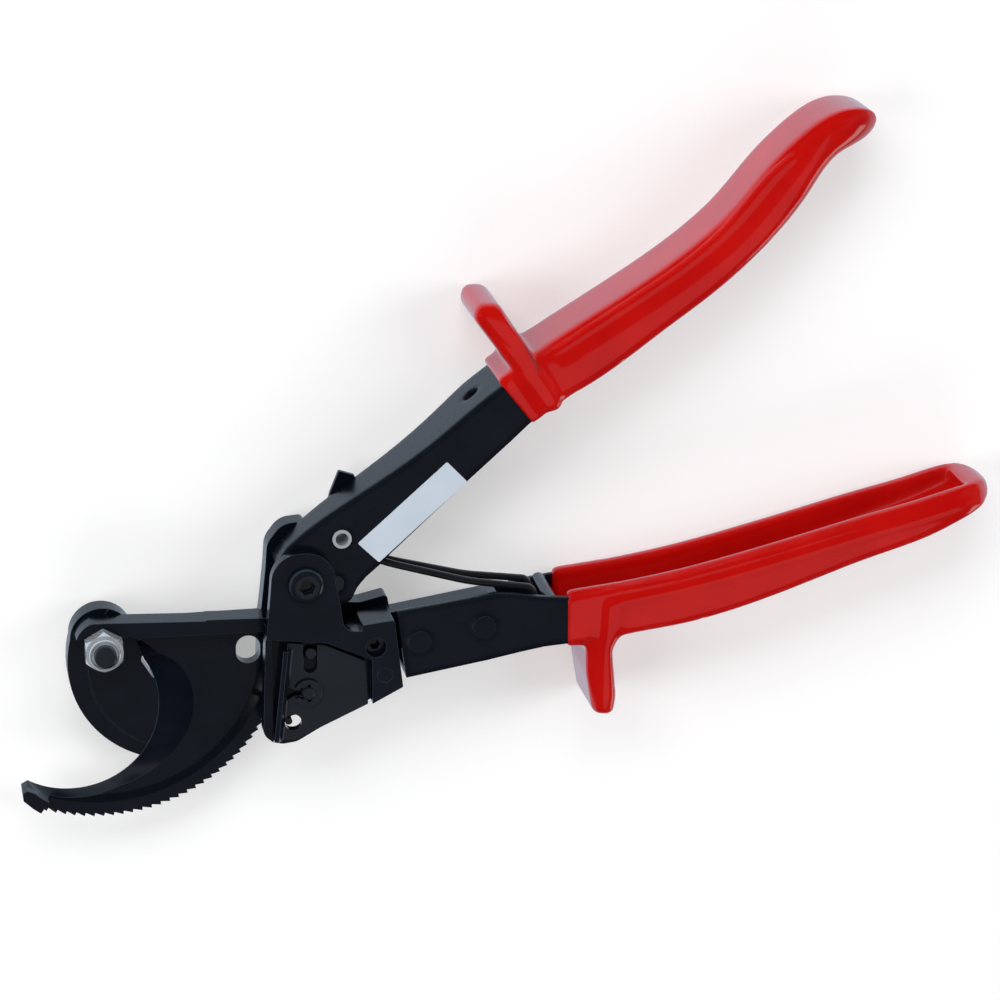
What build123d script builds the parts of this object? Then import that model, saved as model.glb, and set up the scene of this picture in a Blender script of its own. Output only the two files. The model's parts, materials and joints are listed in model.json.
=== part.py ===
from build123d import *
import math
import os

# Ratcheting cable cutter lying on its back. Millimetres. +X runs from the head to the lower handle,
# +Y is up across the tool, +Z is the direction of both pivot axes. Shapes are drawn about the main
# pivot and are moved at the end, so that the origin is under the middle of the whole tool.

# ---- depth levels above the rest surface
GRIP_TOP = 25.4
PLATE_LOW, PLATE_TOP = 3.0, 9.5          # fixed blade plate
BLADE_LOW, BLADE_TOP = 9.6, 17.0         # moving blade: eye, top bar and hook tip
WEB_TOP, RIM_TOP = 13.8, 12.0            # moving blade: main plate and toothed rim
FRONT_LOW, FRONT_TOP = 20.5, 24.0        # front plate and its ear
WALL_LOW, WALL_TOP = 17.4, 20.0          # pocket wall behind the release plate
HANDLE_LOW, HANDLE_TOP = 9.7, 20.3       # upper handle channel at the pivot
LOW_CHANNEL = (1.4, 24.0)                # lower handle channel

# ---- pivots and the ratchet
MAIN_PIVOT = (0.0, 0.0)
BLADE_PIVOT = (-54.0, -16.8)
TOOTH_TIP_R = 50.5
TOOTH_DEPTH = 0.95
TOOTH_PITCH = 3.0                        # degrees, 120 to a full circle
FIRST_TOOTH = -109.1
TOOTH_COUNT = 38
STEEP_STEP = 0.25                        # degrees taken by a tooth's steep face
RIM_INNER_R, WEB_OUTER_R = 46.4, 43.3    # the sloped step between rim and main plate
PAWL_GAP = 0.35                          # pawl nose to tooth tips
PAWL_PIN = (8.6, -1.6)
PAWL_REACH = 16.0
HOLD_PIN = (0.3, -31.5)
DRIVE_PIN = (1.3, -20.4)
REST_RIVET = (10.3, 11.3)
RIVET_R = 2.1
PAWL_PIN_R = 2.3
SPRING_ANCHOR = (67.8, -10.4)
SPRING_END = (64.2, -12.4)
RUN = 0.05                               # radial running clearance of pins and screws
M6_R = 3.0

# ---- upper handle
WALL = 2.3
INNER_LOW, INNER_TOP = HANDLE_LOW + WALL, HANDLE_TOP - WALL
HANDLE_ANGLE = 42.0                      # handle's general direction, degrees from +X
TAPER_START, TAPER_END = 10.0, 66.0
WIDE_LOW, WIDE_TOP = 2.0, 23.4           # channel at and inside the grip

# ---- lower handle
LOW_WALL = 2.0
WIRE_R = 1.0

# ---- rear lever
LEVER_LOW, LEVER_TOP = 5.3, 6.8


def shape(points, radius=0.0):
    """A closed flat face from corner points. radius is one value, or one for each corner."""
    if radius == 0.0:
        return make_face(Polyline(*points, close=True))
    return make_face(FilletPolyline(*points, radius=radius, close=True))


def slab(face, low, top):
    """A flat face at z 0 as a plate between two levels."""
    return extrude(Pos(0, 0, low) * face, top - low, dir=(0, 0, 1))


def rod(centre, radius, low, top):
    return Pos(centre[0], centre[1], (low + top) / 2) * Cylinder(radius, top - low)


def ring(centre, inner, outer, low, top):
    return rod(centre, outer, low, top) - rod(centre, inner, low - 1, top + 1)


def polar(centre, radius, degrees):
    a = math.radians(degrees)
    return (centre[0] + radius * math.cos(a), centre[1] + radius * math.sin(a))


def disc(centre, radius):
    return Pos(centre[0], centre[1]) * Circle(radius)


def hexagon(centre, across_flats, turn=0.0):
    return Pos(centre[0], centre[1]) * Rot(0, 0, turn) * RegularPolygon(across_flats / math.sqrt(3), 6)


def shifted(points, dx, dy):
    return [(x + dx, y + dy) for x, y in points]


def only_solid(part):
    """The one solid that a boolean result holds."""
    solids = part.solids()
    return max(solids, key=lambda s: s.volume)


# ---------------------------------------------------------------- fixed blade

DISC_CENTRE = (-34.0, -23.8)
DISC_STEP = (-33.1, -24.7)                # centre of the shallow step line on the disc
LOBE_CENTRE = (-53.7, -16.7)
LOWER_EDGE = [(26.1, -31.0), (10.0, -39.2), (-3.0, -42.9), (-8.4, -43.3), (-12.1, -41.0)]
LOWER_EDGE_R = [1.0, 0.0, 3.0, 2.0, 2.0]


def fixed_blade():
    """Hook disc, top strip, body, rear ear with its horn, stop tab and tang: one plate."""
    hook = disc(DISC_CENTRE, 29.2)
    mouth_edge = FilletPolyline(
        (-30.5, -54.5), (-36.4, -41.5), (-37.6, -31.5), (-40.6, -28.4), (-43.6, -23.4), (-41.0, -19.6),
        (-14.0, -18.6), (20.0, -18.6), (20.0, -70.0), (-30.5, -70.0),
        radius=[14.0, 0.6, 6.0, 0.8, 1.5, 0.0, 0.0, 0.0, 0.0, 0.0], close=True,
    )
    above = shape([(-80.0, -17.0), (-54.0, -13.2), (30.0, -13.2), (30.0, 20.0), (-80.0, 20.0)])
    hook = hook - make_face(mouth_edge) - above + disc(LOBE_CENTRE, 8.6)
    body_points = [
        (-10.9, -14.0), (-10.3, -10.5), (-9.0, 0.6), (-8.5, 7.4), (-4.4, 12.7), (1.6, 13.1),
        (5.6, 7.6), (9.2, 0.0), (10.3, -11.2), (13.6, -10.8), (16.6, -11.1), (24.2, -9.4), (24.7, -12.6),
    ]
    body_r = [0.0, 0.0, 10.0, 6.0, 6.0, 1.4, 6.0, 6.0, 1.0, 0.5, 0.8, 1.0, 0.0]
    body = shape(body_points + LOWER_EDGE, body_r + LOWER_EDGE_R)
    tang = shape(
        [(20.0, -15.4), (50.7, -10.8), (56.3, -11.4), (57.0, -20.3), (50.0, -22.0), (20.0, -26.2)],
        [0.0, 4.0, 2.5, 2.0, 2.0, 0.0],
    )
    part = slab(hook + body + tang, PLATE_LOW, PLATE_TOP)
    part = part - rod(BLADE_PIVOT, M6_R + RUN, 0, 12)
    part = part - rod(MAIN_PIVOT, M6_R + RUN, 0, 12)
    part = part - rod(HOLD_PIN, 1.75, 0, 12)
    part = part - rod(STOP_PIN_AT, 1.0, 0, 12)
    for centre in FRAME_RIVETS:
        part = part - rod(centre, 1.6, 0, 12)
    for centre in HANDLE_RIVETS:
        part = part - rod(centre, 2.5, 0, 12)
    step = slab(disc(DISC_STEP, 24.9) - disc(DISC_STEP, 24.6), PLATE_TOP - 0.25, PLATE_TOP + 1)
    return only_solid(part - step)


# ---------------------------------------------------------------- moving blade

EYE_CENTRE = (-54.2, -16.6)
SHARP_CENTRE, SHARP_R = (-62.8, -35.5), 23.8
BAR_TOP_LEFT, BAR_TOP_RIGHT = (-54.0, -9.7), (-4.0, -11.4)


def tooth_line():
    """Tip and root points of the ratchet teeth, clockwise from the frame side to the hook tip."""
    points = []
    for i in reversed(range(TOOTH_COUNT)):
        tip = FIRST_TOOTH + i * TOOTH_PITCH
        points.append(polar(BLADE_PIVOT, TOOTH_TIP_R - TOOTH_DEPTH, tip + STEEP_STEP))
        points.append(polar(BLADE_PIVOT, TOOTH_TIP_R, tip))
    return points


def blade_outline():
    """Flat outline of the moving blade, bore and hole left out."""
    teeth = tooth_line()
    hook_end = (-74.9, -55.9)
    heel = (-42.5, -23.4)
    low_right = (SHARP_CENTRE[0] + SHARP_R * math.cos(math.radians(-35)),
                 SHARP_CENTRE[1] + SHARP_R * math.sin(math.radians(-35)))
    edges = [
        Line(BAR_TOP_LEFT, BAR_TOP_RIGHT),
        Polyline(BAR_TOP_RIGHT, *teeth),
        Polyline(teeth[-1], (-74.4, -61.6), (-76.9, -59.2), (-77.0, -57.0), hook_end),
        ThreePointArc(hook_end, low_right, heel),
        Polyline(heel, (-46.5, -24.2), (-54.0, -24.2), BAR_TOP_LEFT),
    ]
    return make_face(Wire([e for edge in edges for e in edge.edges()])) + disc(EYE_CENTRE, 7.4)


def rim_profile():
    """Everything the plain blade plate may fill: flat main plate, sloped step and thin rim."""
    profile = Polyline(
        (0, BLADE_LOW), (60, BLADE_LOW), (60, RIM_TOP), (RIM_INNER_R, RIM_TOP),
        (WEB_OUTER_R, WEB_TOP), (0, WEB_TOP), close=True,
    )
    return Pos(BLADE_PIVOT[0], BLADE_PIVOT[1], 0) * revolve(make_face(Plane.XZ * profile), Axis.Z)


def bevel_cutter():
    """The hollow ground bevel, from the sharp edge at the shear plane up to the main plate."""
    far = [(-90.0, -50.0), (-90.0, -14.0), (-46.0, -14.0)]
    sharp = [(-75.6, -55.8), (-66.0, -59.2), (-55.5, -58.2), (-45.0, -51.4), (-39.7, -41.0), (-39.6, -30.5),
             (-42.5, -23.4)]
    outer = [(-73.4, -57.4), (-67.0, -61.2), (-54.0, -59.2), (-40.4, -53.1), (-31.0, -41.5), (-31.4, -27.5),
             (-38.6, -20.4)]
    layers = []
    for level, points in ((BLADE_LOW - 0.02, sharp), (WEB_TOP, outer)):
        curve = Spline(*points)
        rest = Polyline(points[-1], *reversed(far), points[0])
        layers.append(Pos(0, 0, level) * make_face(Wire(curve.edges() + rest.edges())))
    cone = loft(layers, ruled=True)
    return cone + extrude(layers[1], 5.0, dir=(0, 0, 1))


def moving_blade():
    """Toothed sector blade with a thick eye, top bar and hook tip."""
    face = blade_outline()
    plain = slab(face, BLADE_LOW, BLADE_TOP) & rim_profile()
    bar = shape(
        [(-66.0, -9.3), (0.0, -9.3), (-2.0, -15.2), (-43.2, -14.6), (-46.8, -16.4), (-47.6, -20.6),
         (-49.0, -30.0), (-66.0, -30.0)],
        [0.0, 0.0, 0.0, 4.0, 2.0, 0.0, 0.0, 0.0],
    )
    tip = shape([(-80.0, -52.0), (-72.6, -55.4), (-69.6, -59.6), (-73.0, -64.0), (-80.0, -64.0)])
    raised = slab((bar + tip) & face, BLADE_LOW, BLADE_TOP)
    top_clip = slab(shape([(-90, -90), (10, -90), BAR_TOP_RIGHT, (-26.0, -10.7), (-26.4, -11.05),
                           (-54.0, -9.8), (-90, -9.8)]), 0, 30)
    part = (plain + raised) & top_clip
    part = part - bevel_cutter()
    part = part - rod(BLADE_PIVOT, M6_R + RUN, 0, 30)
    hole = SlotCenterToCenter(1.4, 6.6, rotation=90)
    part = part - slab(Pos(-14.7, -21.0) * hole, 0, 30)
    return only_solid(part)


# ---------------------------------------------------------------- blade pivot

def blade_pivot_bolt():
    """Low round head behind, shank through both blades, bare thread end in front."""
    head = rod(BLADE_PIVOT, 5.3, 0.0, 2.4)
    head = fillet(head.edges().filter_by(GeomType.CIRCLE).group_by(Axis.Z)[0], 1.2)
    socket = slab(hexagon(BLADE_PIVOT, 4.0), -1.0, 1.4)
    shank = rod(BLADE_PIVOT, M6_R, 2.4, 25.0)
    shank = chamfer(shank.edges().filter_by(GeomType.CIRCLE).group_by(Axis.Z)[-1], 0.5)
    return head - socket + shank


def blade_pivot_washer():
    return ring(BLADE_PIVOT, M6_R + RUN, 6.0, 2.4, 3.0)


def blade_pivot_nut():
    """Lock nut: chamfered hexagon below, round collar above."""
    hexed = slab(hexagon(BLADE_PIVOT, 10.0, 30.0), 17.1, 21.3)
    cone = Pos(BLADE_PIVOT[0], BLADE_PIVOT[1], 18.6) * Cone(8.3, 4.9, 5.8)
    collar = rod(BLADE_PIVOT, 4.3, 21.0, 23.0)
    collar = fillet(collar.edges().filter_by(GeomType.CIRCLE).group_by(Axis.Z)[-1], 0.6)
    nut = (hexed & cone) + collar
    nut = nut - rod(BLADE_PIVOT, M6_R + RUN, 15, 30)
    return nut - rod(BLADE_PIVOT, 3.7, 21.6, 30)


def nut_insert():
    return ring(BLADE_PIVOT, M6_R + RUN, 3.65, 21.6, 22.7)


# ---------------------------------------------------------------- front frame

FRAME_RIVETS = [(21.2, -27.2)]
SET_SCREW_AT = (18.8, -19.2)
STOP_PIN_AT = (-4.8, -40.2)
POCKET = [(-9.3, -15.1), (5.4, -17.0), (17.7, -22.6), (17.7, -37.0), (8.0, -52.0), (-9.3, -52.0)]


def front_frame():
    """Front plate with its ear, the stepped pocket, and the solid block beside the handle."""
    upper = [
        (-10.9, -14.0), (-10.2, -8.4), (-9.4, 0.0), (-8.9, 8.8), (7.5, 8.8), (8.0, 0.0),
        (9.2, -5.8), (10.2, -13.9), (15.1, -14.3), (15.1, -12.6), (23.9, -11.7),
    ]
    upper_r = [0.0, 10.0, 10.0, 7.9, 7.9, 10.0, 0.0, 3.5, 0.0, 0.5, 0.5]
    lower = [(26.1, -31.0), (10.0, -39.2), (-2.6, -46.2), (-7.6, -46.8), (-12.0, -42.9)]
    outline = shape(upper + lower, upper_r + [0.6, 0.0, 4.0, 4.0, 3.0])
    part = slab(outline, FRONT_LOW, FRONT_TOP)
    riser = shape([(-10.9, -15.6), (-10.85, -12.4), (6.6, -14.4), (18.2, -14.4), (18.2, -22.0), (5.8, -17.3)])
    part = part + slab(riser & outline, WALL_LOW, FRONT_TOP)
    block = shape([(7.2, -18.4), (12.2, -14.6), (30.0, -14.6), (30.0, -42.0), (7.2, -44.0)])
    block = block + shape([(15.1, -16.0), (15.1, -12.7), (24.0, -11.9), (24.4, -16.0)])
    part = part + slab(block & outline, PLATE_TOP, FRONT_TOP)
    wall = shape([(-14.0, -15.0), (8.0, -15.0), (8.0, -50.0), (-14.0, -50.0)])
    part = part + slab(wall & outline, WALL_LOW, FRONT_TOP)
    part = part - slab(shape(POCKET), WALL_TOP, 40)
    part = part - slab(shape([(-30, -15.1), (-9.0, -15.1), (-9.0, -60), (-30, -60)]), 22.2, 40)
    part = part - rod(MAIN_PIVOT, M6_R + RUN, 0, 40)
    part = part - rod(HOLD_PIN, 1.75, 0, 40)
    pin_slot = SlotCenterToCenter(1.6, 3.8)
    part = part - slab(Pos(DRIVE_PIN[0] + 0.7, DRIVE_PIN[1] - 0.1) * pin_slot, 0, 21)
    part = part - rod((-3.4, -40.2), 2.6, 0, 21)
    part = part - rod(SET_SCREW_AT, 2.8, 11.0, 40)
    for centre in FRAME_RIVETS:
        part = part - rod(centre, 2.1, 22.0, 40)
        part = part - rod(centre, 1.6, 0, 40)
    return only_solid(part)


def frame_rivets():
    """Rivet through the block, with a wide flush head in front."""
    return [rod(c, 1.6, PLATE_LOW, 22.0) + rod(c, 2.08, 22.0, FRONT_TOP - 0.05) for c in FRAME_RIVETS]


def block_set_screw():
    """Socket set screw sunk in the block."""
    body = rod(SET_SCREW_AT, 2.75, 11.0, 21.4)
    return body - slab(hexagon(SET_SCREW_AT, 2.5), 19.4, 30)


def stop_pin():
    """Pin on the plate that stands in the wide hole of the pocket wall and anchors the pawl spring."""
    return rod(STOP_PIN_AT, 1.0, PLATE_LOW, 20.0)


# ---------------------------------------------------------------- main pivot

def main_pivot_screw():
    head = rod(MAIN_PIVOT, 5.0, FRONT_TOP, FRONT_TOP + 2.4)
    head = fillet(head.edges().filter_by(GeomType.CIRCLE).group_by(Axis.Z)[-1], 2.0)
    shank = rod(MAIN_PIVOT, M6_R, PLATE_LOW, FRONT_TOP)
    return head + shank - slab(hexagon(MAIN_PIVOT, 4.0, 10.0), FRONT_TOP, 40)


def pivot_bush():
    """Spacer between the handle's flanges."""
    return ring(MAIN_PIVOT, M6_R + RUN, 4.2, INNER_LOW + 0.1, INNER_TOP - 0.1)


# ---------------------------------------------------------------- upper handle

UPPER_TOP = [(-4.4, 9.4), (5.7, 17.3), (19.1, 26.0), (29.3, 32.9), (37.7, 39.4), (46.6, 46.9), (54.0, 52.4),
             (63.0, 58.4), (89.0, 74.6), (104.6, 84.9), (116.2, 95.6), (125.2, 106.0), (131.5, 111.4)]
UPPER_LOW = [(138.4, 107.6), (134.4, 100.0), (128.6, 92.4), (119.4, 83.6), (108.2, 74.6), (96.6, 66.4),
             (82.0, 56.0), (61.0, 41.4), (44.1, 25.9), (23.2, 6.1), (20.9, 3.6), (16.8, 0.0), (14.4, -2.9),
             (12.2, -7.4), (7.2, -7.0), (3.4, -4.6), (0.0, -5.6), (-4.8, -3.4), (-7.4, 4.6), (-5.8, 7.4)]
UPPER_LOW_R = [0.0] * 13 + [3.0, 2.0, 1.5, 4.0, 4.0, 2.0, 0.0]


def handle_profile():
    """Side outline of the channel: a smooth spine above, the open edges and the hub below."""
    spine = Spline(*UPPER_TOP)
    low = FilletPolyline(UPPER_TOP[-1], *UPPER_LOW, UPPER_TOP[0], radius=UPPER_LOW_R)
    return make_face(Wire(spine.edges() + low.edges()))


def handle_wedge(inset=0.0, grow=0.0):
    """The channel's width along the handle: narrow at the pivot, wide from the collar on."""
    low, top = HANDLE_LOW + inset - grow, HANDLE_TOP - inset + grow
    wide_low, wide_top = WIDE_LOW + inset - grow, WIDE_TOP - inset + grow
    side = Polyline(
        (-60, low), (TAPER_START, low), (TAPER_END, wide_low), (260, wide_low),
        (260, wide_top), (TAPER_END, wide_top), (TAPER_START, top), (-60, top), close=True,
    )
    turned = Plane((0, 0, 0), x_dir=(1, 0, 0), z_dir=(0, -1, 0)) * make_face(side)
    return Rot(0, 0, HANDLE_ANGLE) * extrude(turned, 150, both=True)


def handle_outer():
    return slab(handle_profile(), 0, 30) & handle_wedge()


def handle_inner():
    """The channel's hollow, open below."""
    roof = shifted(UPPER_TOP, 1.5, -1.8)
    low = Polyline(roof[-1], (150.0, 105.0), (120.0, 0.0), (0.0, -60.0), (-40.0, -20.0), roof[0])
    return slab(make_face(Wire(Spline(*roof).edges() + low.edges())), 0, 40) & handle_wedge(inset=WALL)


WEB_HOLE = (46.9, 47.2)
WEB_HOLE_Z = 12.4
WEB_SLOPE = math.degrees(math.atan2(46.9 - 39.4, 46.6 - 37.7))


def web_hole_centre():
    """A point on the hole's axis, half way through the web."""
    a = math.radians(WEB_SLOPE)
    return (WEB_HOLE[0] + WALL / 2 * math.sin(a), WEB_HOLE[1] - WALL / 2 * math.cos(a))


def upper_handle():
    """Folded channel: web above, open below, with the pivot, pawl pin and rivet holes."""
    part = handle_outer() - handle_inner()
    part = part - rod(MAIN_PIVOT, M6_R + RUN, 0, 40)
    part = part - rod(PAWL_PIN, PAWL_PIN_R + RUN, 0, 40)
    part = part - rod(REST_RIVET, RIVET_R + RUN, 0, 40)
    x, y = web_hole_centre()
    drill = Pos(x, y, WEB_HOLE_Z) * Rot(0, 0, WEB_SLOPE) * Rot(90, 0, 0) * Cylinder(2.5, 12)
    return only_solid(part - drill)


def spring_rest_rivet():
    """Hollow rivet across the channel: the spring pushes on it and the rear lever turns on it."""
    rim = rod(REST_RIVET, 2.6, HANDLE_TOP + 0.5, HANDLE_TOP + 1.1)
    shank = rod(REST_RIVET, RIVET_R, LEVER_LOW - 0.9, HANDLE_TOP + 1.1)
    tail = rod(REST_RIVET, 2.8, LEVER_LOW - 0.9, LEVER_LOW - 0.3)
    return rim + shank + tail - rod(REST_RIVET, 1.75, HANDLE_TOP - 4.0, 40)


def drive_pawl_pin():
    return rod(PAWL_PIN, PAWL_PIN_R, HANDLE_LOW + 0.1, HANDLE_TOP - 0.05)


LABEL = [(14.6, 9.7), (38.7, 31.7), (44.1, 25.9), (20.3, 4.0)]
LABEL_T = 0.15


def label():
    """Blank metallic plate on the tapered front flange."""
    skin = slab(shape(LABEL, 0.4), 12.0, 40.0) & handle_wedge(grow=LABEL_T)
    return only_solid(skin - handle_wedge(grow=0.0))


# ---------------------------------------------------------------- drive pawl

def pawl_nose():
    """Where the drive pawl's nose stands, just clear of the tooth tips."""
    dx, dy = PAWL_PIN[0] - BLADE_PIVOT[0], PAWL_PIN[1] - BLADE_PIVOT[1]
    span = math.hypot(dx, dy)
    reach = TOOTH_TIP_R + PAWL_GAP
    turn = math.acos((span**2 + reach**2 - PAWL_REACH**2) / (2 * span * reach))
    return polar(BLADE_PIVOT, reach, math.degrees(math.atan2(dy, dx) - turn))


def drive_pawl():
    """Hub on its pin, straight arm, and a deep nose that reaches the rim."""
    nose = pawl_nose()
    ux, uy = (nose[0] - PAWL_PIN[0]) / PAWL_REACH, (nose[1] - PAWL_PIN[1]) / PAWL_REACH

    def at(along, left):
        return (PAWL_PIN[0] + along * ux - left * uy, PAWL_PIN[1] + along * uy + left * ux)

    arm = shape([at(0, -2.0), at(13.0, -1.9), nose, at(15.4, 1.8), at(12.0, 3.6), at(0, 3.6)])
    body = slab(arm + disc(PAWL_PIN, 3.7), INNER_LOW + 0.2, BLADE_TOP)
    deep = slab(arm & shape([at(11.0, -9), at(30, -9), at(30, 9), at(11.0, 9)]), BLADE_LOW + 0.2, BLADE_TOP)
    return only_solid(body + deep - rod(PAWL_PIN, PAWL_PIN_R + RUN, 0, 40))


def drive_pawl_spring():
    """Flat spring coil on the pawl pin with one leg along the web."""
    coil = ring(PAWL_PIN, 2.4, 3.3, 17.15, 17.85)
    leg = slab(shape([(9.4, 1.2), (10.2, 1.0), (11.9, 4.5), (11.1, 4.9)]), 17.15, 17.85)
    return only_solid(coil + leg)


# ---------------------------------------------------------------- rear lever

def rear_lever():
    """Sheet lever behind the handle, with a square thumb tab above the web."""
    plate = shape(
        [(6.6, 9.4), (9.3, 19.8), (11.8, 25.9), (16.2, 24.4), (15.2, 18.6), (14.4, 9.6), (10.5, 7.2)],
        [2.0, 0.0, 0.5, 0.5, 0.0, 2.0, 2.5],
    )
    boss = rod(REST_RIVET, 3.2, LEVER_LOW, LEVER_TOP + 1.5)
    return slab(plate, LEVER_LOW, LEVER_TOP) + boss - rod(REST_RIVET, RIVET_R + RUN, 0, 40)


# ---------------------------------------------------------------- holding pawl and release plate

def holding_pawl():
    pawl = shape(
        [(-2.9, -33.4), (-2.9, -29.5), (-2.2, -26.4), (-3.35, -23.6), (-2.6, -21.4), (0.0, -18.6), (3.1, -18.6),
         (3.9, -29.5), (3.4, -33.8), (0.4, -35.2)],
        [1.5, 0.0, 0.0, 0.2, 0.0, 1.2, 1.2, 0.0, 1.5, 2.0],
    )
    part = slab(pawl, PLATE_TOP + 0.3, 16.4)
    part = part - rod(HOLD_PIN, 1.8, 0, 40)
    return part - rod(DRIVE_PIN, 1.5, 0, 40)


def release_pin():
    return rod(DRIVE_PIN, 1.45, PLATE_TOP + 0.4, 22.0)


RELEASE_LOW, RELEASE_TOP = WALL_TOP + 0.1, WALL_TOP + 1.6


def release_plate():
    """Cover plate of the pocket: U slot for the pin, pivot hole, lower hole and a flared left lip."""
    outline = shape(
        [(-4.9, -17.1), (5.1, -18.3), (16.2, -23.7), (16.8, -36.1), (-3.4, -45.1), (-8.0, -44.8)],
        [0.5, 1.0, 0.5, 0.5, 0.6, 0.5],
    )
    plate = slab(outline, RELEASE_LOW, RELEASE_TOP)
    lip_low, lip_high = (-7.9, -44.6), (-4.9, -18.7)
    length = math.hypot(lip_high[0] - lip_low[0], lip_high[1] - lip_low[1])
    side = Polyline((0.0, 0.0), (1.4, 0.0), (1.4, 1.5), (1.0, 2.0), (-0.3, 4.4), (-1.5, 4.1), (0.0, 1.9), close=True)
    up = Vector(lip_high[0] - lip_low[0], lip_high[1] - lip_low[1], 0).normalized()
    across = Vector(up.Y, -up.X, 0)
    plane = Plane((lip_low[0], lip_low[1], RELEASE_LOW), x_dir=across, z_dir=across.cross(Vector(0, 0, 1)))
    lip = extrude(plane * make_face(side), length, dir=up)
    part = plate + lip
    slot = disc((1.15, -24.2), 1.9) + shape([(-0.75, -24.2), (3.05, -24.2), (3.05, -10), (-0.75, -10)])
    part = part - slab(slot, 0, 40)
    part = part - rod(HOLD_PIN, 1.8, 0, 40)
    notch = shape([(-5.4, -33.6), (-3.2, -32.4), (-1.0, -32.4), (-1.0, -30.8), (-3.2, -30.8), (-5.4, -29.4)])
    part = part - slab(notch, 0, 40)
    return only_solid(part - rod((-3.8, -40.0), 2.3, 0, 40))


def holding_pawl_pin():
    pin = rod(HOLD_PIN, 1.7, PLATE_LOW, 23.6)
    pin = chamfer(pin.edges().filter_by(GeomType.CIRCLE).group_by(Axis.Z)[-1], 0.3)
    return pin - ring(HOLD_PIN, 1.3, 3.0, 21.85, 22.75)


def e_clip():
    """Retaining clip in the pin's groove, open to the left."""
    clip = ring(HOLD_PIN, 1.35, 3.75, 21.95, 22.65)
    gap = shape([(-6.0, -33.4), (-0.6, -32.4), (-0.6, -30.6), (-6.0, -29.6)])
    clip = clip - slab(gap, 0, 40)
    for turn in (35, 100, -100, -35):
        clip = clip - rod(polar(HOLD_PIN, 2.0, 180 + turn), 0.55, 0, 40)
    return only_solid(clip)


def holding_pawl_spring():
    """Flat coil on the pawl's pin with a leg to the stop pin."""
    coil = ring(HOLD_PIN, 1.9, 2.9, 16.55, 17.25)
    leg = slab(shape([(-1.9, -33.2), (-1.2, -33.9), (-3.2, -38.6), (-4.0, -38.3)]), 16.55, 17.25)
    return only_solid(coil + leg)


# ---------------------------------------------------------------- lower handle

HANDLE_RIVETS = [(30.8, -18.4), (48.6, -15.3)]
LOWER_BOTTOM = [(27.0, -28.4), (49.2, -24.9), (58.3, -23.2), (65.0, -22.1), (72.6, -21.6), (92.0, -18.8),
                (106.5, -15.8), (120.0, -12.0), (146.0, -4.4), (165.0, 1.6), (176.0, 5.4)]
GRIP_TOP_LINE = [(176.0, 12.2), (168.0, 10.4), (150.0, 6.4), (130.0, 1.4), (103.0, -4.4), (72.0, -8.6)]
FRONT_WALL_TOP = [(64.9, -7.9), (56.1, -6.4), (51.7, -6.0), (47.3, -6.7), (37.9, -7.9), (24.7, -9.4)]
REAR_WALL_TOP = [(65.0, -9.5), (59.3, -10.5), (52.0, -11.8), (24.7, -16.0)]


def lower_wall(top_line):
    return shape(LOWER_BOTTOM + GRIP_TOP_LINE + top_line)


def lower_handle():
    """Channel open above: a tall front wall, a lower rear wall and a web along the bottom edge."""
    low, top = LOW_CHANNEL
    part = slab(lower_wall(FRONT_WALL_TOP), low, top)
    floor = shifted(LOWER_BOTTOM, -0.35, LOW_WALL)
    floor[0] = (20.0, -28.6 + LOW_WALL)
    trench = shape(floor + [(200.0, 12.0), (200.0, 60.0), (20.0, 60.0)])
    part = part - slab(trench, PLATE_LOW, top - LOW_WALL)
    rear_cut = shape([(20.0, -16.4)] + list(reversed(REAR_WALL_TOP)) + [(72.0, -8.6), (72.0, 20.0), (20.0, 20.0)])
    part = part - slab(rear_cut, 0, PLATE_LOW + 1)
    for centre in HANDLE_RIVETS:
        part = part - rod(centre, 2.5, 0, 40)
        part = part - rod(centre, 3.1, FRONT_TOP - 1.0, 40)
    part = part - rod(SPRING_ANCHOR, 2.0, 0, PLATE_TOP)
    return only_solid(part)


def handle_spacer():
    """Filler block between the tang and the front wall."""
    block = shape([(28.2, -13.2), (52.0, -9.8), (56.0, -14.0), (55.0, -20.8), (49.0, -22.2), (28.2, -25.4)], 0.8)
    part = slab(block, PLATE_TOP, LOW_CHANNEL[1] - LOW_WALL)
    for centre in HANDLE_RIVETS:
        part = part - rod(centre, 2.5, 0, 40)
    return part


def handle_rivets():
    """Two rivets through the lower handle, set flush in front."""
    low, top = LOW_CHANNEL
    return [rod(c, 2.45, low, top - 1.0) + rod(c, 3.05, top - 1.0, top - 0.04) for c in HANDLE_RIVETS]


def spring_anchor_pin():
    return rod(SPRING_ANCHOR, 1.95, LOW_CHANNEL[0] + 0.3, LOW_CHANNEL[1] - LOW_WALL - 0.05)


def handle_spring():
    """Hairpin of round wire: two legs that converge under the rest rivet, joined inside the channel."""
    line = [(9.4, 7.9), (24.0, 2.1), (45.2, -3.9), (62.6, -6.6), SPRING_END]
    near = [16.6, 16.8, 18.0, 18.8, 18.8]
    points = [(x, y, z) for (x, y), z in zip(line, near)]
    points += [(x, y, 30.0 - z) for x, y, z in reversed(points)]
    path = FilletPolyline(*points, radius=[60.0, 60.0, 2.2, 1.6, 1.6, 2.2, 60.0, 60.0])
    section = Plane(path @ 0, z_dir=path % 0) * Circle(WIRE_R)
    return sweep(section, path)


# ---------------------------------------------------------------- grips

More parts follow.
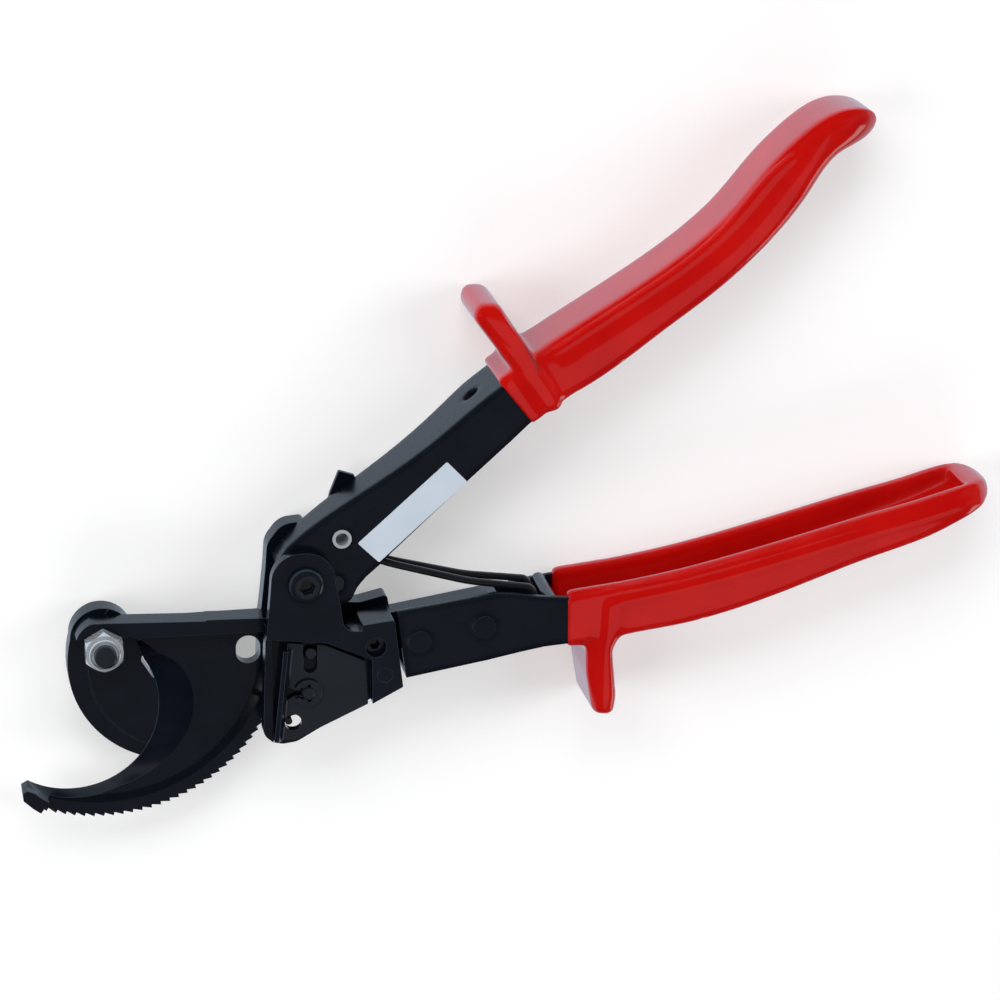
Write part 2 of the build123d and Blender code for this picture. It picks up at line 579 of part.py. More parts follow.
UPPER_GRIP = [(61.0, 59.6), (74.6, 68.0), (91.5, 78.2), (105.0, 87.4), (116.8, 97.9), (125.1, 107.7),
              (133.4, 115.7), (139.5, 120.2), (145.2, 122.6), (150.2, 122.9), (154.2, 121.7), (156.2, 119.2),
              (155.6, 116.4), (152.8, 114.2), (149.0, 112.6), (145.0, 110.8), (141.4, 107.4), (137.0, 100.8),
              (130.1, 92.0), (121.0, 82.8), (109.4, 73.2), (97.7, 64.9), (82.7, 54.2), (68.0, 46.4)]
UPPER_COLLAR = [(60.7, 59.2), (52.1, 53.7), (61.5, 41.6), (63.6, 42.4), (68.0, 46.8)]
UPPER_GUARD = [(45.6, 71.2), (47.0, 75.2), (52.6, 74.9), (70.4, 47.0), (69.0, 44.4), (65.0, 44.0)]
LOWER_GRIP = [(84.0, -21.2), (92.5, -19.8), (102.4, -18.6), (113.6, -16.4), (133.7, -10.5), (156.8, -2.7),
              (175.4, 3.3), (185.0, 8.0), (190.4, 11.2), (192.4, 14.0), (190.6, 16.4), (185.6, 16.8),
              (171.2, 13.2), (157.8, 10.1), (140.9, 5.9), (124.1, 1.8), (105.6, -2.3), (90.6, -4.8), (84.0, -5.7)]
LOWER_COLLAR = [(86.0, -20.9), (80.0, -22.6), (71.4, -23.0), (71.4, -6.9), (86.0, -5.4)]
LOWER_GUARD = [(76.8, -8.0), (77.0, -31.0), (78.9, -42.9), (84.6, -43.4), (85.4, -38.0), (84.2, -24.5),
               (86.4, -20.6), (84.4, -8.0)]
GRIP_WALL = 4.8
UPPER_ROUND, LOWER_ROUND = 2.4, 1.2
NOSE_R = 11.5
NOSE_END, NOSE_TURN = (192.6, 13.0), 20.0


def grip_body(points, radius):
    """Smooth outline through the points, as thick as the grip, with its long edges rounded."""
    curve = Spline(*points)
    part = slab(make_face(Wire(curve.edges() + Line(points[-1], points[0]).edges())), 0.0, GRIP_TOP)
    return fillet(part.edges().filter_by(GeomType.BSPLINE), radius)


def rounded(face, radius):
    """A grip-thick slab with its front and rear edges rounded."""
    part = slab(face, 0.0, GRIP_TOP)
    return fillet(part.faces().filter_by(Axis.Z).edges(), radius)


def nose_limit(end, turn):
    """Everything short of a blunt round nose in plan, turned to the handle's direction."""
    half = GRIP_TOP / 2
    plan = Pos(-200.0, half) * RectangleRounded(400.0, GRIP_TOP + 0.01, NOSE_R)
    side = Plane((0, 0, 0), x_dir=(1, 0, 0), z_dir=(0, -1, 0)) * plan
    return Pos(end[0], end[1], 0) * Rot(0, 0, turn) * extrude(side, 200, both=True)


def upper_grip():
    """Dipped vinyl over the outside of the channel, with a finger guard across it."""
    part = grip_body(UPPER_GRIP, UPPER_ROUND) + slab(shape(UPPER_COLLAR), 0.6, GRIP_TOP - 0.6)
    part = part + rounded(shape(UPPER_GUARD, 2.4), 2.2)
    roof = shifted(UPPER_GRIP[1:9], 3.3, -3.8)
    trench = shape([(40.0, 43.0)] + roof + [(150.0, 108.0), (150.0, 60.0), (60.0, 10.0)])
    return only_solid(part - slab(trench, GRIP_WALL, GRIP_TOP - GRIP_WALL) - handle_outer())


def lower_grip():
    """Dipped vinyl over the lower channel, open above, with a finger guard below."""
    part = grip_body(LOWER_GRIP, LOWER_ROUND) & nose_limit(NOSE_END, NOSE_TURN)
    part = part + slab(shape(LOWER_COLLAR), 0.2, GRIP_TOP - 0.2) + rounded(shape(LOWER_GUARD, 1.8), 1.7)
    floor = shifted(LOWER_GRIP[0:7], -1.4, 4.6)
    trench = shape([(60.0, -17.2)] + floor + [(184.0, 12.0), (182.0, 60.0), (60.0, 60.0)])
    low, top = LOW_CHANNEL
    steel = slab(lower_wall(FRONT_WALL_TOP), low, PLATE_LOW) + slab(lower_wall(FRONT_WALL_TOP), top - LOW_WALL, top)
    return only_solid(part - slab(trench, GRIP_WALL, GRIP_TOP - GRIP_WALL) - steel - lower_handle())


NODES = {
    "fixed_blade": fixed_blade,
    "moving_blade": moving_blade,
    "blade_pivot_bolt": blade_pivot_bolt,
    "blade_pivot_washer": blade_pivot_washer,
    "blade_pivot_nut": blade_pivot_nut,
    "nut_insert": nut_insert,
    "front_frame": front_frame,
    "frame_rivets": frame_rivets,
    "block_set_screw": block_set_screw,
    "stop_pin": stop_pin,
    "main_pivot_screw": main_pivot_screw,
    "pivot_bush": pivot_bush,
    "upper_handle": upper_handle,
    "upper_grip": upper_grip,
    "spring_rest_rivet": spring_rest_rivet,
    "drive_pawl_pin": drive_pawl_pin,
    "label": label,
    "drive_pawl": drive_pawl,
    "drive_pawl_spring": drive_pawl_spring,
    "rear_lever": rear_lever,
    "holding_pawl": holding_pawl,
    "release_pin": release_pin,
    "release_plate": release_plate,
    "holding_pawl_pin": holding_pawl_pin,
    "e_clip": e_clip,
    "holding_pawl_spring": holding_pawl_spring,
    "lower_handle": lower_handle,
    "handle_spacer": handle_spacer,
    "handle_rivets": handle_rivets,
    "spring_anchor_pin": spring_anchor_pin,
    "handle_spring": handle_spring,
    "lower_grip": lower_grip,
}


def solids_of(made):
    if isinstance(made, list):
        return [s for piece in made for s in piece.solids()]
    return list(made.solids())


def build_all():
    """Every node as a list of solids, still drawn about the main pivot."""
    return {name: solids_of(make()) for name, make in NODES.items()}


def base_centre(parts):
    """The middle of the whole tool's box on the rest surface."""
    box = Compound([s for solids in parts.values() for s in solids]).bounding_box()
    return Vector((box.min.X + box.max.X) / 2, (box.min.Y + box.max.Y) / 2, box.min.Z)


def main():
    os.makedirs("parts", exist_ok=True)
    parts = build_all()
    centre = base_centre(parts)
    for name, solids in parts.items():
        moved = [s.moved(Location((-centre.X, -centre.Y, -centre.Z))) for s in solids]
        export_step(moved[0] if len(moved) == 1 else Compound(moved), f"parts/{name}.step")
    print("origin from the main pivot:", round(centre.X, 3), round(centre.Y, 3), round(centre.Z, 3))


if __name__ == "__main__":
    main()
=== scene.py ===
import json
import math

import bmesh
import bpy
import numpy as np
from mathutils import Matrix, Vector
from mathutils.bvhtree import BVHTree

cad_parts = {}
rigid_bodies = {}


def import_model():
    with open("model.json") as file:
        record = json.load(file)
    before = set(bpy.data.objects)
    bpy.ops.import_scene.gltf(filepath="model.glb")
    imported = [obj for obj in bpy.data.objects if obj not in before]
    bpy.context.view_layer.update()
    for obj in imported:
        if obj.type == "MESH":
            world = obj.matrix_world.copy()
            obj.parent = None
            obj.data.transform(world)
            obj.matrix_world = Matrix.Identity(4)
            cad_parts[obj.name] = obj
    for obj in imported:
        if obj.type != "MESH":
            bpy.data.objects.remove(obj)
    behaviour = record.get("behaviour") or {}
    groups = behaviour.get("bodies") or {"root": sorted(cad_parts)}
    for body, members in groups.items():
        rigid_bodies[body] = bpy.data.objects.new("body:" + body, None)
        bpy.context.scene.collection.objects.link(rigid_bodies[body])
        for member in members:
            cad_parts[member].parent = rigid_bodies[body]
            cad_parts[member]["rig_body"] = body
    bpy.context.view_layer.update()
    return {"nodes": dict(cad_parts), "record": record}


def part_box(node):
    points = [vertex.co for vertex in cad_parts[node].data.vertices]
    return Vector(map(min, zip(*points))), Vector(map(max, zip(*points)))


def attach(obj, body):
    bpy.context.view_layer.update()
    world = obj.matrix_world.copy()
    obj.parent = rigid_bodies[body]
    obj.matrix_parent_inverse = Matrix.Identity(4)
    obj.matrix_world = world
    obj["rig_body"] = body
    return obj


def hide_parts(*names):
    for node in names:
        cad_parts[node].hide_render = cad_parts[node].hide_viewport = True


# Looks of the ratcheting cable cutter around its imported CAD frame. The frame is in metres. Lengths on the
# part are written in millimetres and turned into metres by MM. The stage and the lights are in metres.

MM = 0.001
TINY = 1e-6                                   # less than any real length, in either unit

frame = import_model()
pivot_low, pivot_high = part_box("main_pivot_screw")
PIVOT = Vector(((pivot_low.x + pivot_high.x) / 2, (pivot_low.y + pivot_high.y) / 2, 0.0))


def at(x, y, z=0.0):
    """A point given in millimetres from the main pivot on the rest surface, in metres in the frame."""
    return PIVOT + Vector((x, y, z)) * MM


# ---------------------------------------------------------------- shader helpers

def add(tree, kind, values=None, **settings):
    """A new shader node with its settings, and values for its input sockets by name or number."""
    made = tree.nodes.new(kind)
    for name, value in settings.items():
        setattr(made, name, value)
    for name, value in (values or {}).items():
        made.inputs[name].default_value = value
    return made


def link(tree, source, output, target, socket):
    tree.links.new(source.outputs[output], target.inputs[socket])


def noise(tree, scale, detail, stretch=(1.0, 1.0, 1.0)):
    """Noise in the piece's own coordinates. scale is in features per metre."""
    place = add(tree, "ShaderNodeTexCoord")
    mapping = add(tree, "ShaderNodeMapping", {"Scale": stretch})
    texture = add(tree, "ShaderNodeTexNoise", {"Scale": scale, "Detail": detail, "Roughness": 0.55})
    link(tree, place, "Object", mapping, "Vector")
    link(tree, mapping, "Vector", texture, "Vector")
    return texture


def spread(tree, texture, low, high):
    """Maps the middle values of a noise texture, where nearly all of it lies, to a range."""
    made = add(tree, "ShaderNodeMapRange", {
        "From Min": 0.3, "From Max": 0.7, "To Min": low, "To Max": high,
    })
    link(tree, texture, "Fac", made, "Value")
    return made


def colour_mix(tree, factor, output, dark, light):
    made = add(tree, "ShaderNodeMix", {"A": (*dark, 1.0), "B": (*light, 1.0)}, data_type="RGBA")
    link(tree, factor, output, made, "Factor")
    return made


def clouded(tree, scale, detail, dark, light):
    """A colour in soft clouds between dark and light."""
    clouds = noise(tree, scale, detail)
    return colour_mix(tree, spread(tree, clouds, 0.0, 1.0), "Result", dark, light)


def blank_material(name, values):
    """A material with nothing but a shader and an output, and values for the shader's sockets."""
    material = bpy.data.materials.new(name)
    material.use_nodes = True
    tree = material.node_tree
    tree.nodes.clear()
    shader = add(tree, "ShaderNodeBsdfPrincipled", values)
    output = add(tree, "ShaderNodeOutputMaterial")
    link(tree, shader, "BSDF", output, "Surface")
    return material, tree, shader


def soft_edges(tree, shader, radius, texture, strength, height):
    """Rounds the shading of edges by a radius in millimetres and adds a fine surface texture of a height in
    metres. Returns the rounded normal's node."""
    bevel = add(tree, "ShaderNodeBevel", {"Radius": radius * MM}, samples=6)
    bump = add(tree, "ShaderNodeBump", {"Strength": strength, "Distance": height})
    link(tree, texture, "Fac", bump, "Height")
    link(tree, bevel, "Normal", bump, "Normal")
    link(tree, bump, "Normal", shader, "Normal")
    return bevel


def wear_and_highlight_mask(tree, bevel, whole=0.97, wear_and_highlight=0.80):
    """0 where the rounded normal still follows the flat one, and 1 on edges that take wear and a painted
    highlight. The limits are cosines.
    """
    flat = add(tree, "ShaderNodeNewGeometry")
    dot = add(tree, "ShaderNodeVectorMath", operation="DOT_PRODUCT")
    link(tree, bevel, "Normal", dot, 0)
    link(tree, flat, "Normal", dot, 1)
    made = add(tree, "ShaderNodeMapRange", {
        "From Min": whole, "From Max": wear_and_highlight, "To Min": 0.0, "To Max": 1.0,
    })
    link(tree, dot, "Value", made, "Value")
    return made


# ---------------------------------------------------------------- materials

def metal(name, dark, light, edge, rough, metallic=0.0, edge_radius=0.35, shine=0.5, coat=0.0):
    """A treated metal: cloudy colour, uneven roughness, fine grain, and a lighter colour on its edges, partly
    wear and partly a painted highlight.
    """
    material, tree, shader = blank_material(name, {
        "Metallic": metallic,
        "Specular IOR Level": shine,
        "Coat Weight": coat,
        "Coat Roughness": 0.12,
    })
    base = clouded(tree, 90.0, 5.0, dark, light)
    grain = noise(tree, 900.0, 3.0)
    bevel = soft_edges(tree, shader, edge_radius, grain, 0.12, 0.00004)
    # Edges take a lighter colour: partly wear, partly a painted highlight along the rounded edges.
    wear_and_highlight = add(tree, "ShaderNodeMix", {"B": (*edge, 1.0)}, data_type="RGBA")
    link(tree, wear_and_highlight_mask(tree, bevel), "Result", wear_and_highlight, "Factor")
    link(tree, base, "Result", wear_and_highlight, "A")
    link(tree, wear_and_highlight, "Result", shader, "Base Color")
    link(tree, spread(tree, grain, rough * 0.8, rough * 1.25), "Result", shader, "Roughness")
    return material


def vinyl():
    """Glossy dipped red vinyl with a faint orange peel and cloudy colour."""
    material, tree, shader = blank_material("red_vinyl", {
        "Coat Weight": 0.9,
        "Coat Roughness": 0.04,
        "Subsurface Weight": 0.08,
        "Subsurface Scale": 0.0015,
        "Subsurface Radius": (1.0, 0.15, 0.1),
        "Specular IOR Level": 0.45,
    })
    base = clouded(tree, 60.0, 3.0, (0.45, 0.002, 0.001), (0.53, 0.004, 0.002))
    peel = noise(tree, 260.0, 2.0)
    link(tree, base, "Result", shader, "Base Color")
    link(tree, spread(tree, peel, 0.12, 0.20), "Result", shader, "Roughness")
    soft_edges(tree, shader, 0.8, peel, 0.06, 0.0001)
    return material


def foil():
    """Brushed pale metal foil."""
    material, tree, shader = blank_material("label_foil", {"Metallic": 0.2})
    base = clouded(tree, 45.0, 2.0, (0.60, 0.68, 0.78), (0.68, 0.76, 0.86))
    brushed = noise(tree, 500.0, 4.0, (0.25, 6.0, 1.0))
    link(tree, base, "Result", shader, "Base Color")
    link(tree, spread(tree, brushed, 0.30, 0.36), "Result", shader, "Roughness")
    soft_edges(tree, shader, 0.08, brushed, 0.05, 0.00002)
    return material


BLUED_DARK = (0.0018, 0.0032, 0.0065)
BLUED_LIGHT = (0.0035, 0.0055, 0.0100)
WIRE_DARK = (0.006, 0.007, 0.009)
WIRE_LIGHT = (0.012, 0.013, 0.016)
FOLD_RADIUS = 2.6                             # millimetres, of the handles' long folds

# Each metal's dark and light colour, the colour of its edges, which is partly wear and partly a painted
# highlight, and its roughness.
MATERIALS = {
    # Edges many times lighter than the steel: a painted highlight along the edges, with some wear.
    "blued_steel": metal(
        "blued_steel", BLUED_DARK, BLUED_LIGHT, (0.040, 0.048, 0.060), 0.20, shine=0.32, coat=0.06),
    # The folds take the light colour across their whole radius: a painted highlight along the handles' folds.
    "folded_steel": metal(
        "folded_steel", BLUED_DARK, BLUED_LIGHT, BLUED_LIGHT, 0.22, edge_radius=FOLD_RADIUS, shine=0.32,
        coat=0.06),
    "black_oxide": metal(
        "black_oxide", (0.0045, 0.0075, 0.0120), (0.0060, 0.0095, 0.0145), (0.030, 0.035, 0.042), 0.18,
        coat=0.3),
    "zinc": metal(
        "zinc", (0.70, 0.74, 0.78), (0.82, 0.86, 0.90), (0.90, 0.92, 0.94), 0.16, metallic=0.75,
        edge_radius=0.12),
    "bare_steel": metal(
        "bare_steel", (0.62, 0.65, 0.66), (0.74, 0.77, 0.78), (0.90, 0.90, 0.90), 0.24, metallic=0.6,
        edge_radius=0.12),
    "insert_nylon": metal(
        "insert_nylon", (0.30, 0.33, 0.38), (0.40, 0.43, 0.48), (0.5, 0.5, 0.55), 0.45, edge_radius=0.12),
    "black_wire": metal(
        "black_wire", WIRE_DARK, WIRE_LIGHT, WIRE_LIGHT, 0.18, edge_radius=0.1, coat=0.4),
    "label_foil": foil(),
    "red_vinyl": vinyl(),
}


def paint(obj, material):
    """Gives a piece one material all over."""
    obj.data.materials.clear()
    obj.data.materials.append(material)
    for face in obj.data.polygons:
        face.material_index = 0


def paint_cad_nodes():
    """Each CAD node takes its record slot's material, apart from the two folded handles. Curved faces are
    shaded smooth."""
    slots = {part["node"]: part["material_slot"] for part in frame["record"]["subparts"]}
    for name, obj in frame["nodes"].items():
        folded = name in ("upper_handle", "lower_handle")
        paint(obj, MATERIALS["folded_steel" if folded else slots[name]])
        obj.data.shade_smooth()
        obj.data.set_sharp_from_angle(angle=math.radians(28))


# ---------------------------------------------------------------- grips

# Millimetres, points and directions in plan, and degrees from +X.
VOXEL = 0.5
ROUND_TIMES, LAST_TIMES = 36, 6               # rounds of the two smoothings
GRIP_MID = 12.7                               # half of the grips' thickness
PIN_GAP, FREE_GAP = 0.2, 0.7                  # vinyl nearer to steel than this stays, further off is free
STEEL_COVER, LEAST_COVER = 0.55, 0.3          # vinyl over the steel, before and after the last smoothing
STEEL_REACH = 3.0                             # how far off the steel under the vinyl is looked for
SAME_SIDE = 0.3                               # least cosine between the vinyl's and the steel's direction
WELD = 0.001
SINK_START, SINK_FULL = 2.6, 1.2              # below a face, where its sinking begins and is complete
LINE_STEP, LINE_REACH = 1.0, 2                # steps along a top line, and how many soften it on each side

UPPER_TURN = 42.0                             # the grip's general direction
UPPER_MOUTH, UPPER_MOUTH_TURN = (57.1, 47.9), 37.9
GUARD_FOOT, GUARD_ALONG = (58.0, 59.5), (0.846, 0.533)
GUARD_BACK = 4.0                              # the guard's foot ends this far past its middle
GUARD_SIDE = (2.4, 4.2)                       # from its middle, where the guard's raised face falls off
UPPER_SINK = 0.9                              # how far the faces lie below the guard's
UPPER_ROLL, LEAST_ROLL = 4.0, 0.01            # radius of the long edges, past the guard and before it
ROLL_GROWS = (2.6, 8.0)                       # past the guard, from the least roll to the whole one
UPPER_LEAN = 0.55                             # how far the faces' upper band leans in
LEAN_GROWS = (4.0, 10.0)
LEAN_FOOT, LEAN_HEIGHT = 8.4, 4.4             # below the top line, where the lean ends, and over what height
NOSE_TIP, NOSE_TURN, NOSE_LENGTH = (156.6, 118.2), -28.0, 15.0
NOSE_NARROWS = 0.78

LOWER_TURN = 13.0
LOWER_MOUTH, LOWER_MOUTH_TURN = (71.8, -15.0), 0.0
LOWER_START = 72.0                            # X past which the top line is measured
RIDGE_Y, RIDGE_X = (-44.0, -30.0, -12.0), (78.6, 79.4, 80.6)    # left side of the guard's ridge
PAD_SIDE, PAD_TOP = (0.0, 1.6), (3.0, 4.4)    # where the pad rises, past the ridge and below the top line
VALLEY_SIDE, VALLEY_TOP = (4.6, 7.0), (4.4, 7.0)
PAD_HEIGHT, VALLEY_DEPTH = 1.3, 0.5


def fade(values, start, end):
    """0 before start, 1 after end, smooth between."""
    t = np.clip((values - start) / (end - start), 0.0, 1.0)
    return t * t * (3.0 - 2.0 * t)


def drawn(mesh):
    """A mesh's vertices as millimetres about the main pivot."""
    co = np.empty(len(mesh.vertices) * 3)
    mesh.vertices.foreach_get("co", co)
    return (co.reshape(-1, 3) - np.array(PIVOT)) / MM


def put_back(mesh, points):
    mesh.vertices.foreach_set("co", (points * MM + np.array(PIVOT)).ravel())
    mesh.update()


def apply_modifiers(obj):
    """Makes the piece's modifiers part of its mesh."""
    obj.data = bpy.data.meshes.new_from_object(obj.evaluated_get(bpy.context.evaluated_depsgraph_get()))
    obj.modifiers.clear()


def smooth(obj, times, group=""):
    """Smooths the piece, everywhere or as a vertex group says."""
    modifier = obj.modifiers.new("smooth", "SMOOTH")
    modifier.factor = 0.5
    modifier.iterations = times
    modifier.vertex_group = group
    apply_modifiers(obj)


def top_line(along, height):
    """The highest point in each step along the handle, softened, as two arrays to interpolate."""
    bins = np.floor(along / LINE_STEP).astype(int)
    places = np.unique(bins)
    tops = np.array([height[bins == b].max() for b in places])
    count = 2 * LINE_REACH + 1
    soft = np.convolve(np.pad(tops, LINE_REACH, mode="edge"), np.ones(count) / count, mode="valid")
    return (places + 0.5) * LINE_STEP, soft


def depth_below_top(points, turn, chosen):
    """How far each point lies below the grip's top line, which is measured on the chosen points."""
    a = math.radians(turn)
    along = points[:, 0] * math.cos(a) + points[:, 1] * math.sin(a)
    height = points[:, 1] * math.cos(a) - points[:, 0] * math.sin(a)
    place, top = top_line(along[chosen], height[chosen])
    return np.interp(along, place, top) - height


def roll_top_edges(points, depth, radius):
    """Turns the two long upper edges into wide rolls. depth is measured below the top line, and radius is one
    value for each vertex. Returns how far each vertex sinks."""
    out = np.abs(points[:, 2] - GRIP_MID)
    side = np.sign(points[:, 2] - GRIP_MID)
    centre_out = GRIP_MID - radius
    du = np.maximum(out - centre_out, 0.0)
    dv = np.maximum(radius - depth, 0.0)
    reach = np.hypot(du, dv)
    over = (du > 0) & (dv > 0) & (reach > radius)
    scale = np.where(over, radius / np.maximum(reach, TINY), 1.0)
    sink = np.where(over, dv * (1.0 - scale), 0.0)
    points[:, 2] = np.where(over, GRIP_MID + side * (centre_out + du * scale), points[:, 2])
    return sink


def sink_faces(points, amount):
    """Moves the front and rear faces inwards by amount, which is one value for each vertex."""
    out = np.abs(points[:, 2] - GRIP_MID)
    share = fade(out, GRIP_MID - SINK_START, GRIP_MID - SINK_FULL)
    points[:, 2] -= np.sign(points[:, 2] - GRIP_MID) * amount * share


def round_nose(points, tip, turn, length):
    """Thins the last stretch before the tip, so that its front and rear faces curve together. turn is the
    direction that the tip points in."""
    a = math.radians(turn)
    back = (tip[0] - points[:, 0]) * math.cos(a) + (tip[1] - points[:, 1]) * math.sin(a)
    t = np.clip(1.0 - back / length, 0.0, 1.0)
    points[:, 2] = GRIP_MID + (points[:, 2] - GRIP_MID) * np.sqrt(1.0 - NOSE_NARROWS * t * t)


def shape_upper(points):
    """Wide rolled edges along the back of the grip, a raised finger guard and a round nose."""
    (foot_x, foot_y), (along_x, along_y) = GUARD_FOOT, GUARD_ALONG
    past_guard = (points[:, 0] - foot_x) * along_x + (points[:, 1] - foot_y) * along_y
    depth = depth_below_top(points, UPPER_TURN, past_guard > GUARD_BACK)
    sink = roll_top_edges(points, depth, UPPER_ROLL * fade(past_guard, *ROLL_GROWS) + LEAST_ROLL)
    a = math.radians(UPPER_TURN)
    points[:, 0] += sink * math.sin(a)
    points[:, 1] -= sink * math.cos(a)
    band = np.clip((LEAN_FOOT - depth) / LEAN_HEIGHT, 0.0, 1.0)
    lean = UPPER_LEAN * band * fade(past_guard, *LEAN_GROWS)
    sink_faces(points, UPPER_SINK * fade(np.abs(past_guard), *GUARD_SIDE) + lean)
    round_nose(points, NOSE_TIP, NOSE_TURN, NOSE_LENGTH)
    return points


def shape_lower(points):
    """A raised pad on each face, between the guard's ridge on its left and a soft shoulder below the wall's
    top edge, with a shallow valley inside it."""
    depth = depth_below_top(points, LOWER_TURN, points[:, 0] > LOWER_START)
    past_ridge = points[:, 0] - np.interp(points[:, 1], RIDGE_Y, RIDGE_X)
    pad = fade(past_ridge, *PAD_SIDE) * fade(depth, *PAD_TOP)
    valley = fade(past_ridge, *VALLEY_SIDE) * fade(depth, *VALLEY_TOP)
    sink_faces(points, PAD_HEIGHT * (1.0 - pad) + VALLEY_DEPTH * valley)
    return points


def keep_over_steel(mesh, tree, cover):
    """Lifts every part of the dip that lies nearer the steel than cover, or in it, back over its surface."""
    facing = [vertex.normal.copy() for vertex in mesh.vertices]
    for vertex, outward in zip(mesh.vertices, facing):
        place, normal, _, distance = tree.find_nearest(vertex.co, STEEL_REACH * MM)
        if place is None or outward.dot(normal) < SAME_SIDE:
            continue
        away = vertex.co - place
        if away.dot(normal) < TINY:
            vertex.co = place + normal * cover * MM
        elif distance < cover * MM:
            vertex.co = place + away.normalized() * cover * MM


def steel_inside(steel_node, mouth, turn):
    """The steel past the grip's mouth, closed by a cap. mouth is a point on its edge, and turn points in."""
    a = math.radians(turn)
    steel = bmesh.new()
    steel.from_mesh(frame["nodes"][steel_node].data)
    bmesh.ops.remove_doubles(steel, verts=steel.verts[:], dist=WELD * MM)
    everything = steel.verts[:] + steel.edges[:] + steel.faces[:]
    cut = bmesh.ops.bisect_plane(steel, geom=everything, plane_co=at(*mouth), clear_inner=True,
                                 plane_no=(math.cos(a), math.sin(a), 0.0))
    edges = [e for e in cut["geom_cut"] if isinstance(e, bmesh.types.BMEdge)]
    bmesh.ops.triangle_fill(steel, edges=edges, use_beauty=True)
    return steel


def steel_surface(steel_node):
    """The steel's faces, to find the nearest one to a point."""
    steel = bmesh.new()
    steel.from_mesh(frame["nodes"][steel_node].data)
    tree = BVHTree.FromBMesh(steel)
    steel.free()
    return tree


def free_from_steel(obj, tree):
    """A vertex group that is 0 against the steel and 1 away from it. Returns its name."""
    group = obj.vertex_groups.new(name="free")
    for vertex in obj.data.vertices:
        near = tree.find_nearest(vertex.co, FREE_GAP * MM)
        gap = near[3] / MM if near[0] is not None else FREE_GAP
        weight = max(0.0, min(1.0, (gap - PIN_GAP) / (FREE_GAP - PIN_GAP)))
        group.add([vertex.index], weight, "REPLACE")
    return group.name


def dipped(node, steel_node, reshape, mouth, turn):
    """A grip with soft dipped edges, made from its CAD solid and the steel that it hides. Where it meets the
    steel at its mouth it stays put."""
    obj = bpy.data.objects.new(node + "_dip", frame["nodes"][node].data.copy())
    bpy.context.scene.collection.objects.link(obj)
    whole = steel_inside(steel_node, mouth, turn)
    whole.from_mesh(obj.data)
    whole.to_mesh(obj.data)
    whole.free()
    remesh = obj.modifiers.new("even", "REMESH")
    remesh.mode = "VOXEL"
    remesh.voxel_size = VOXEL * MM
    apply_modifiers(obj)
    tree = steel_surface(steel_node)
    free = free_from_steel(obj, tree)
    put_back(obj.data, reshape(drawn(obj.data)))
    smooth(obj, ROUND_TIMES, free)
    obj.vertex_groups.clear()
    keep_over_steel(obj.data, tree, STEEL_COVER)
    smooth(obj, LAST_TIMES)
    keep_over_steel(obj.data, tree, LEAST_COVER)
    obj.data.shade_smooth()
    paint(obj, MATERIALS["red_vinyl"])
    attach(obj, frame["nodes"][node]["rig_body"])
    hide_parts(node)


# ---------------------------------------------------------------- stage, light and camera

FLOOR_SIZE, FLOOR_DROP = 6.0, 0.0002          # the drop keeps it clear of the rest face

SKY = (                                       # sine of the height over the horizon, colour
    (0.02, (0.50, 0.58, 0.69)),
    (0.12, (0.62, 0.64, 0.66)),
    (0.35, (0.12, 0.13, 0.14)),
    (0.60, (0.030, 0.032, 0.036)),
)
FRONT_LIFT = -0.5                             # share of -Y added to that height, which darkens the front

CAMERA_AZIMUTH, CAMERA_TILT = 11.0, 18.0      # degrees from straight above, towards -X and towards +Y
CAMERA_DISTANCE = 1.0                         # metres
CAMERA_LENS, SENSOR_WIDTH = 133.2, 36.0
CAMERA_TARGET = (54.34, 17.95, 16.0)          # millimetres from the main pivot


def make_floor():
    bpy.ops.mesh.primitive_plane_add(size=FLOOR_SIZE, location=(0.0, 0.0, -FLOOR_DROP))
    floor = bpy.context.object
    floor.name = "floor"
    material, tree, shader = blank_material("pale_floor", {
        "Roughness": 0.8,
        "Emission Strength": 0.4,
        "Emission Color": (1.0, 1.0, 1.0, 1.0),
    })
    clouds = noise(tree, 6.0, 2.0)
    base = colour_mix(tree, clouds, "Fac", (0.60, 0.60, 0.605), (0.64, 0.64, 0.645))
    link(tree, base, "Result", shader, "Base Color")
    paint(floor, material)
    floor.visible_glossy = False


def area_light(name, location, size, power, mirrored=False):
    """A rectangle of light that faces the origin. Gloss shows it only if it is mirrored."""
    data = bpy.data.lights.new(name, "AREA")
    data.shape = "RECTANGLE"
    data.size, data.size_y = size
    data.energy = power
    lamp = bpy.data.objects.new(name, data)
    lamp.visible_glossy = mirrored
    lamp.location = location
    lamp.rotation_mode = "QUATERNION"
    lamp.rotation_quaternion = Vector(location).to_track_quat("Z", "Y")
    bpy.context.scene.collection.objects.link(lamp)


def make_lights():
    """Four soft fills that leave no highlights, a dim soft box that shows in the flat faces, and a small one
    that shows on the grips' ends."""
    area_light("key", (-0.5, 1.3, 1.1), (1.6, 0.8), 22.0)
    area_light("left", (-1.4, -0.1, 1.0), (0.9, 1.4), 14.0)
    area_light("right", (1.4, 0.2, 1.0), (0.8, 1.4), 12.0)
    area_light("front", (0.2, -1.5, 0.9), (1.6, 0.6), 9.5)
    area_light("box", (0.40, -0.74, 2.0), (1.3, 1.0), 0.85, mirrored=True)
    area_light("glint", (1.6, -1.0, 0.66), (0.8, 0.6), 2.4, mirrored=True)


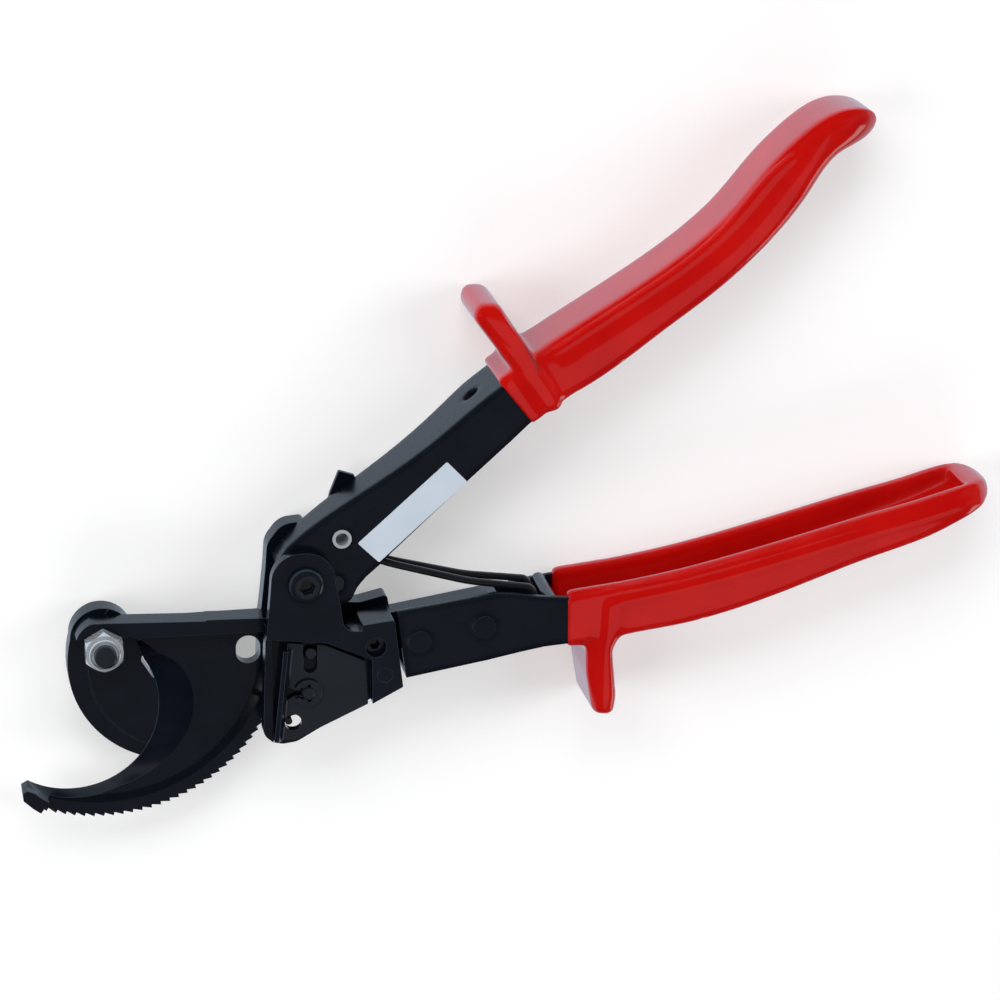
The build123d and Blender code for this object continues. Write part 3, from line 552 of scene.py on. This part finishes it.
def make_sky():
    """A sky that is bright at the horizon, apart from the front, and dark above."""
    world = bpy.data.worlds.new("studio")
    bpy.context.scene.world = world
    world.use_nodes = True
    tree = world.node_tree
    tree.nodes.clear()
    place = add(tree, "ShaderNodeTexCoord")
    split = add(tree, "ShaderNodeSeparateXYZ")
    front = add(tree, "ShaderNodeMath", {1: FRONT_LIFT}, operation="MULTIPLY", use_clamp=True)
    height = add(tree, "ShaderNodeMath", operation="ADD")
    ramp = add(tree, "ShaderNodeValToRGB")
    stops = ramp.color_ramp.elements
    stops.new(0.35)
    stops.new(0.55)
    for stop, (place_on, colour) in zip(stops, SKY):
        stop.position = place_on
        stop.color = (*colour, 1.0)
    sky = add(tree, "ShaderNodeBackground", {"Strength": 1.0})
    output = add(tree, "ShaderNodeOutputWorld")
    link(tree, place, "Generated", split, "Vector")
    link(tree, split, "Y", front, 0)
    link(tree, split, "Z", height, 0)
    link(tree, front, "Value", height, 1)
    link(tree, height, "Value", ramp, "Fac")
    link(tree, ramp, "Color", sky, "Color")
    link(tree, sky, "Background", output, "Surface")


def make_colours():
    """Plain display colours, so that the vinyl's red and the steel's blue-black stay pure."""
    bpy.context.scene.view_settings.view_transform = "Standard"


def make_camera():
    """The photograph's viewing angle: from above, turned a little to the left and to the back."""
    turn, tilt = math.radians(CAMERA_AZIMUTH), math.radians(CAMERA_TILT)
    back = Vector((-math.sin(turn) * math.cos(tilt), math.sin(tilt), math.cos(turn) * math.cos(tilt)))
    right = Vector((back.z, 0.0, -back.x)).normalized()
    up = back.cross(right)
    data = bpy.data.cameras.new("camera")
    data.lens = CAMERA_LENS
    data.sensor_width = SENSOR_WIDTH
    camera = bpy.data.objects.new("camera", data)
    facing = Matrix((right, up, back)).transposed().to_4x4()
    camera.matrix_world = Matrix.Translation(at(*CAMERA_TARGET) + back * CAMERA_DISTANCE) @ facing
    bpy.context.scene.collection.objects.link(camera)
    bpy.context.scene.camera = camera


# ---------------------------------------------------------------- build

make_camera()
make_colours()
make_lights()
make_sky()
make_floor()
paint_cad_nodes()
dipped("upper_grip", "upper_handle", shape_upper, UPPER_MOUTH, UPPER_MOUTH_TURN)
dipped("lower_grip", "lower_handle", shape_lower, LOWER_MOUTH, LOWER_MOUTH_TURN)
